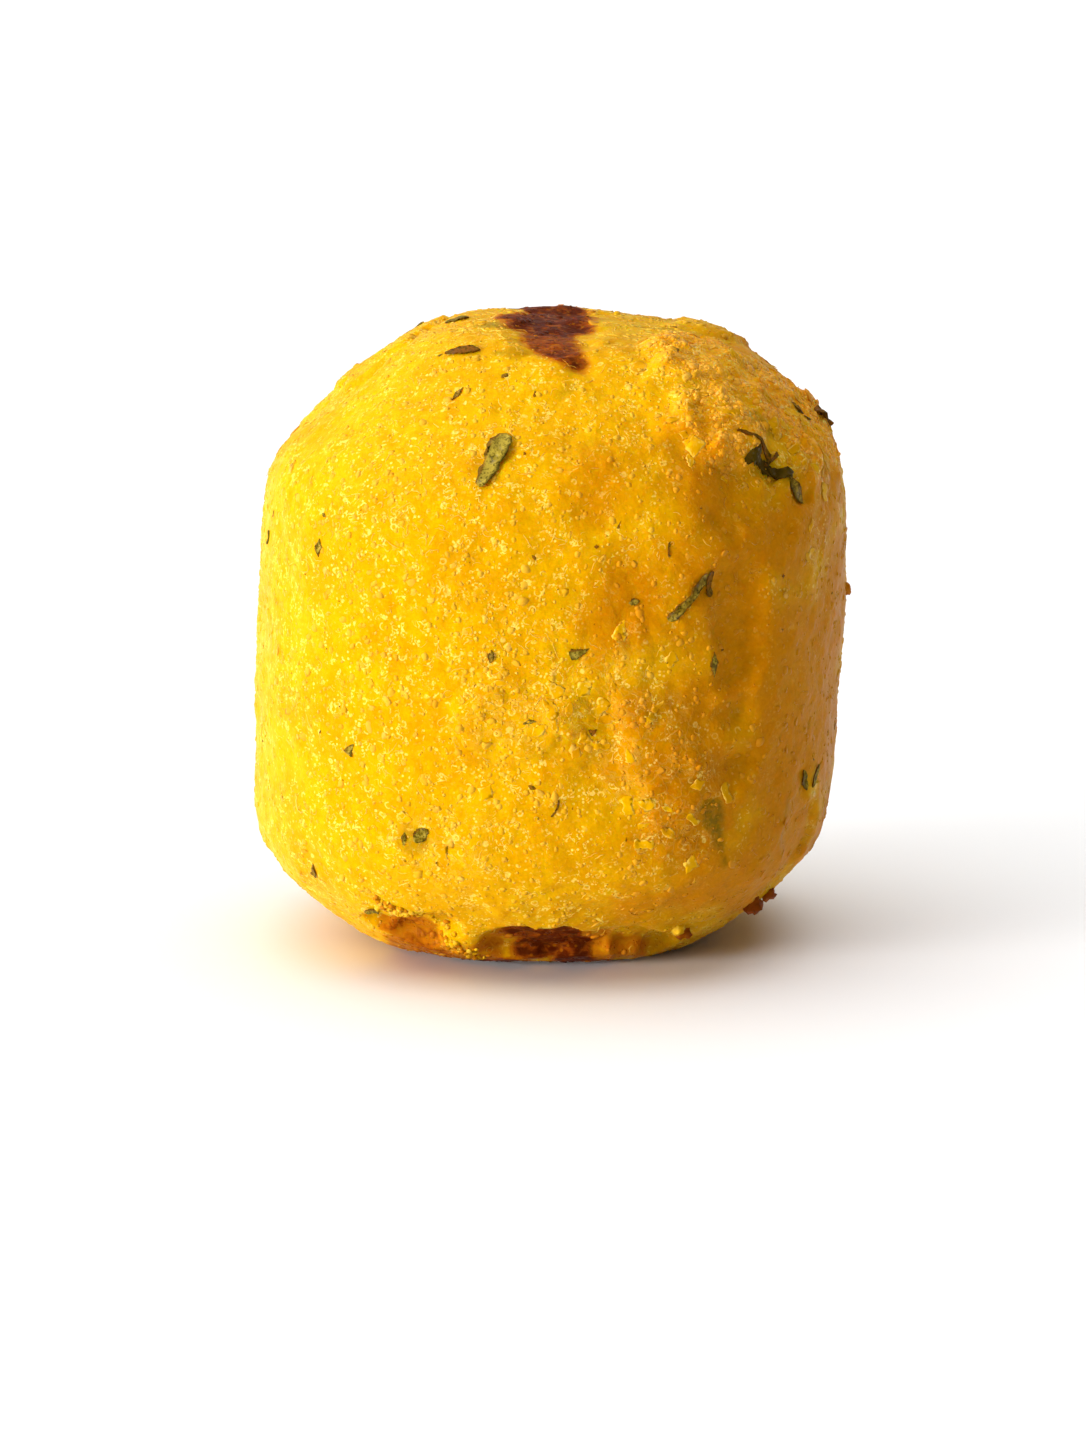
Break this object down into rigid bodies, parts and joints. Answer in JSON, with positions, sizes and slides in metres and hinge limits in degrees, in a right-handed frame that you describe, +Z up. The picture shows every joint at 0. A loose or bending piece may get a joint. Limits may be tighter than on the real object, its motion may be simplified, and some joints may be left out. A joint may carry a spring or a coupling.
{
  "type": "cornmeal fritter",
  "caption": "Bite-sized block of fried yellow cornmeal with herb flecks, round in plan with chamfered shoulders, standing on its flat browned underside.",
  "frame": {"origin": "on the floor under the middle of the fritter's box, at the flat underside it stands on", "axes": "+Z up, -Y the front that the picture shows, +X to the right as seen from the front"},
  "size_m": [0.0358, 0.0346, 0.0379],
  "materials": {
    "fried_cornmeal": "fried cornmeal, moist and fine-grained, with a soft oily sheen; browned on its two flat ends and flecked with dried herbs"
  },
  "bodies": {
    "root": {"fritter": "fried_cornmeal"}
  },
  "joints": []
}
